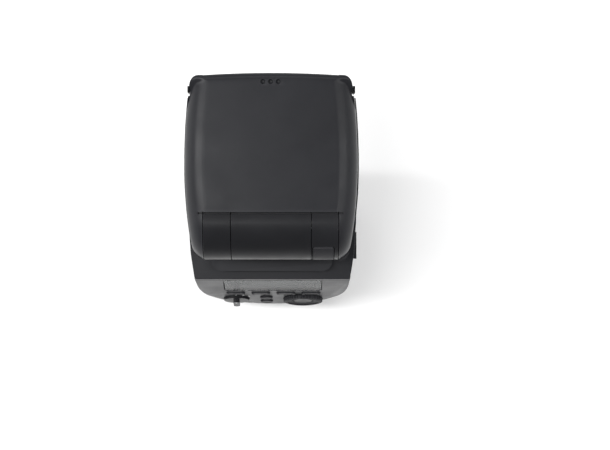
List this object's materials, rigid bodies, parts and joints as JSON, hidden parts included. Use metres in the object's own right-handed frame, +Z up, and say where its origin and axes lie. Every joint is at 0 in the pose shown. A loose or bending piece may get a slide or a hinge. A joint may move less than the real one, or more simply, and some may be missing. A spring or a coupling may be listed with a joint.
{
  "type": "speedlight flash",
  "caption": "Camera-top flash unit with a tilting and swivelling head, control panel, battery cover and hot-shoe foot.",
  "frame": {"origin": "centre of the sole of the hot-shoe foot", "axes": "+Z up through the body to the head; -Y the way the lens faces at rest; +X to the left of someone behind the flash"},
  "size_m": [0.0708, 0.0982, 0.1158],
  "materials": {
    "body_plastic": "fine-grained black",
    "trim_plastic": "satin black",
    "button_plastic": "soft matte dark grey",
    "steel": "brushed",
    "contact_brass": "gold-plated",
    "clear_lens": "clear with fine grooves",
    "tube_glass": "clear",
    "white_plastic": "white satin",
    "red_lens": "dark red transparent",
    "display_glass": "clear glossy",
    "display_cell": "grey-green display",
    "circuit_board": "solder mask",
    "cell_wrap": "plain printed wrap",
    "capacitor_sleeve": "shrink sleeve",
    "reflector_metal": "polished"
  },
  "bodies": {
    "body": {"foot_plate": "steel", "foot_insulator": "trim_plastic", "foot_housing": "body_plastic", "foot_screw_1": "steel", "foot_screw_2": "steel", "foot_screw_3": "steel", "foot_screw_4": "steel", "front_shell": "body_plastic", "rear_shell": "body_plastic", "top_deck": "body_plastic", "swivel_ring": "steel", "focus_lamp_window": "red_lens", "focus_lamp_led": "white_plastic", "lcd_window": "display_glass", "lcd_panel": "display_cell", "control_board": "circuit_board", "main_board": "circuit_board", "battery_tray": "body_plastic", "aa_cell_1": "cell_wrap", "aa_cell_2": "cell_wrap", "aa_cell_3": "cell_wrap", "aa_cell_4": "cell_wrap", "battery_contact_plate": "steel", "main_capacitor": "capacitor_sleeve"},
    "battery_cover_carriage": {"door_hinge_pin": "steel"},
    "battery_cover": {"battery_door": "body_plastic"},
    "yoke": {"yoke_base": "body_plastic", "yoke_drum": "body_plastic", "drum_cap_left": "body_plastic", "drum_cap_right": "body_plastic", "tilt_axle": "steel"},
    "tilt_release": {"tilt_release_button": "trim_plastic"},
    "head": {"head_top_shell": "body_plastic", "head_bottom_shell": "body_plastic", "lens_bezel": "trim_plastic", "fresnel_lens": "clear_lens", "zoom_motor": "steel", "guide_rod": "steel"},
    "catchlight": {"catchlight_panel": "white_plastic"},
    "diffuser": {"wide_panel": "clear_lens"},
    "zoom_carriage": {"reflector": "reflector_metal", "flash_tube": "tube_glass"},
    "zoom_screw": {"lead_screw": "steel"},
    "foot_lever": {"lock_lever": "trim_plastic"},
    "foot_lock_pin": {"lock_pin": "steel"},
    "foot_release": {"lock_release_button": "button_plastic"},
    "dial": {"select_dial": "button_plastic"},
    "set_key": {"set_button": "trim_plastic"},
    "power_switch": {"power_lever": "trim_plastic"},
    "test_key": {"test_button": "button_plastic"},
    "wireless_key": {"wireless_button": "button_plastic"},
    "key_1": {"function_button_1": "button_plastic"},
    "key_2": {"function_button_2": "button_plastic"},
    "key_3": {"function_button_3": "button_plastic"},
    "key_4": {"function_button_4": "button_plastic"},
    "shoe_contact_centre": {"contact_pin_centre": "contact_brass"},
    "shoe_contact_1": {"contact_pin_1": "contact_brass"},
    "shoe_contact_2": {"contact_pin_2": "contact_brass"},
    "shoe_contact_3": {"contact_pin_3": "contact_brass"},
    "shoe_contact_4": {"contact_pin_4": "contact_brass"}
  },
  "joints": [
    {"name": "bounce_swivel", "type": "hinge", "parent": "body", "child": "yoke", "pos_m": [0, 0, 0.0715], "axis": [0, 0, -1], "range_deg": [-150, 180]},
    {"name": "bounce_tilt", "type": "hinge", "parent": "yoke", "child": "head", "pos_m": [0, 0, 0.0993], "axis": [-1, 0, 0], "range_deg": [0, 90]},
    {"name": "tilt_release_press", "type": "slide", "parent": "yoke", "child": "tilt_release", "axis": [0, -0.9659, -0.2588], "range_m": [0, 0.0012], "stiffness_N_per_m": 400},
    {"name": "catchlight_slide", "type": "slide", "parent": "head", "child": "catchlight", "axis": [0, -1, 0], "range_m": [0, 0.025]},
    {"name": "diffuser_slide", "type": "slide", "parent": "head", "child": "diffuser", "axis": [0, -1, 0], "range_m": [0, 0.032]},
    {"name": "flash_zoom_slide", "type": "slide", "parent": "head", "child": "zoom_carriage", "axis": [0, -1, 0], "range_m": [0, 0.013]},
    {"name": "flash_zoom_screw_turn", "type": "hinge", "parent": "head", "child": "zoom_screw", "pos_m": [0.0292, 0, 0.084], "axis": [0, 1, 0], "range_deg": [0, 1570]},
    {"name": "foot_lock_turn", "type": "hinge", "parent": "body", "child": "foot_lever", "pos_m": [0, 0, 0.0063], "axis": [0, 0, 1], "range_deg": [0, 44]},
    {"name": "foot_lock_pin_drop", "type": "slide", "parent": "body", "child": "foot_lock_pin", "axis": [0, 0, -1], "range_m": [0, 0.0015]},
    {"name": "foot_release_press", "type": "slide", "parent": "body", "child": "foot_release", "axis": [0, -1, 0], "range_m": [0, 0.001], "stiffness_N_per_m": 400},
    {"name": "battery_cover_slide", "type": "slide", "parent": "body", "child": "battery_cover_carriage", "axis": [0, 0, -1], "range_m": [0, 0.004]},
    {"name": "battery_cover_swing", "type": "hinge", "parent": "battery_cover_carriage", "child": "battery_cover", "pos_m": [-0.032, -0.0185, 0.043], "axis": [0, 0, 1], "range_deg": [0, 95]},
    {"name": "select_dial_turn", "type": "hinge", "parent": "body", "child": "dial", "pos_m": [-0.013, 0.03377, 0.0312], "axis": [0, 0.9719, 0.2356], "continuous": true},
    {"name": "set_button_press", "type": "slide", "parent": "body", "child": "set_key", "axis": [0, -0.9719, -0.2356], "range_m": [0, 0.0007], "stiffness_N_per_m": 400},
    {"name": "power_lever_turn", "type": "hinge", "parent": "body", "child": "power_switch", "pos_m": [0.0165, 0.03365, 0.03169], "axis": [0, 0.9719, 0.2356], "range_deg": [0, 50]},
    {"name": "test_button_press", "type": "slide", "parent": "body", "child": "test_key", "axis": [0, -0.9719, -0.2356], "range_m": [0, 0.0008], "stiffness_N_per_m": 400},
    {"name": "wireless_button_press", "type": "slide", "parent": "body", "child": "wireless_key", "axis": [0, -0.9719, -0.2356], "range_m": [0, 0.0008], "stiffness_N_per_m": 400},
    {"name": "key_1_press", "type": "slide", "parent": "body", "child": "key_1", "axis": [0, -0.9719, -0.2356], "range_m": [0, 0.0008], "stiffness_N_per_m": 400},
    {"name": "key_2_press", "type": "slide", "parent": "body", "child": "key_2", "axis": [0, -0.9719, -0.2356], "range_m": [0, 0.0008], "stiffness_N_per_m": 400},
    {"name": "key_3_press", "type": "slide", "parent": "body", "child": "key_3", "axis": [0, -0.9719, -0.2356], "range_m": [0, 0.0008], "stiffness_N_per_m": 400},
    {"name": "key_4_press", "type": "slide", "parent": "body", "child": "key_4", "axis": [0, -0.9719, -0.2356], "range_m": [0, 0.0008], "stiffness_N_per_m": 400},
    {"name": "shoe_contact_centre_press", "type": "slide", "parent": "body", "child": "shoe_contact_centre", "axis": [0, 0, 1], "range_m": [0, 0.0007], "stiffness_N_per_m": 400},
    {"name": "shoe_contact_1_press", "type": "slide", "parent": "body", "child": "shoe_contact_1", "axis": [0, 0, 1], "range_m": [0, 0.0007], "stiffness_N_per_m": 400},
    {"name": "shoe_contact_2_press", "type": "slide", "parent": "body", "child": "shoe_contact_2", "axis": [0, 0, 1], "range_m": [0, 0.0007], "stiffness_N_per_m": 400},
    {"name": "shoe_contact_3_press", "type": "slide", "parent": "body", "child": "shoe_contact_3", "axis": [0, 0, 1], "range_m": [0, 0.0007], "stiffness_N_per_m": 400},
    {"name": "shoe_contact_4_press", "type": "slide", "parent": "body", "child": "shoe_contact_4", "axis": [0, 0, 1], "range_m": [0, 0.0007], "stiffness_N_per_m": 400}
  ],
  "couplings": [
    {"joint": "flash_zoom_screw_turn", "follows": "flash_zoom_slide", "rad_per_m": 2094.4},
    {"joint": "foot_lock_pin_drop", "follows": "foot_lock_turn", "m_per_rad": 0.00195}
  ]
}
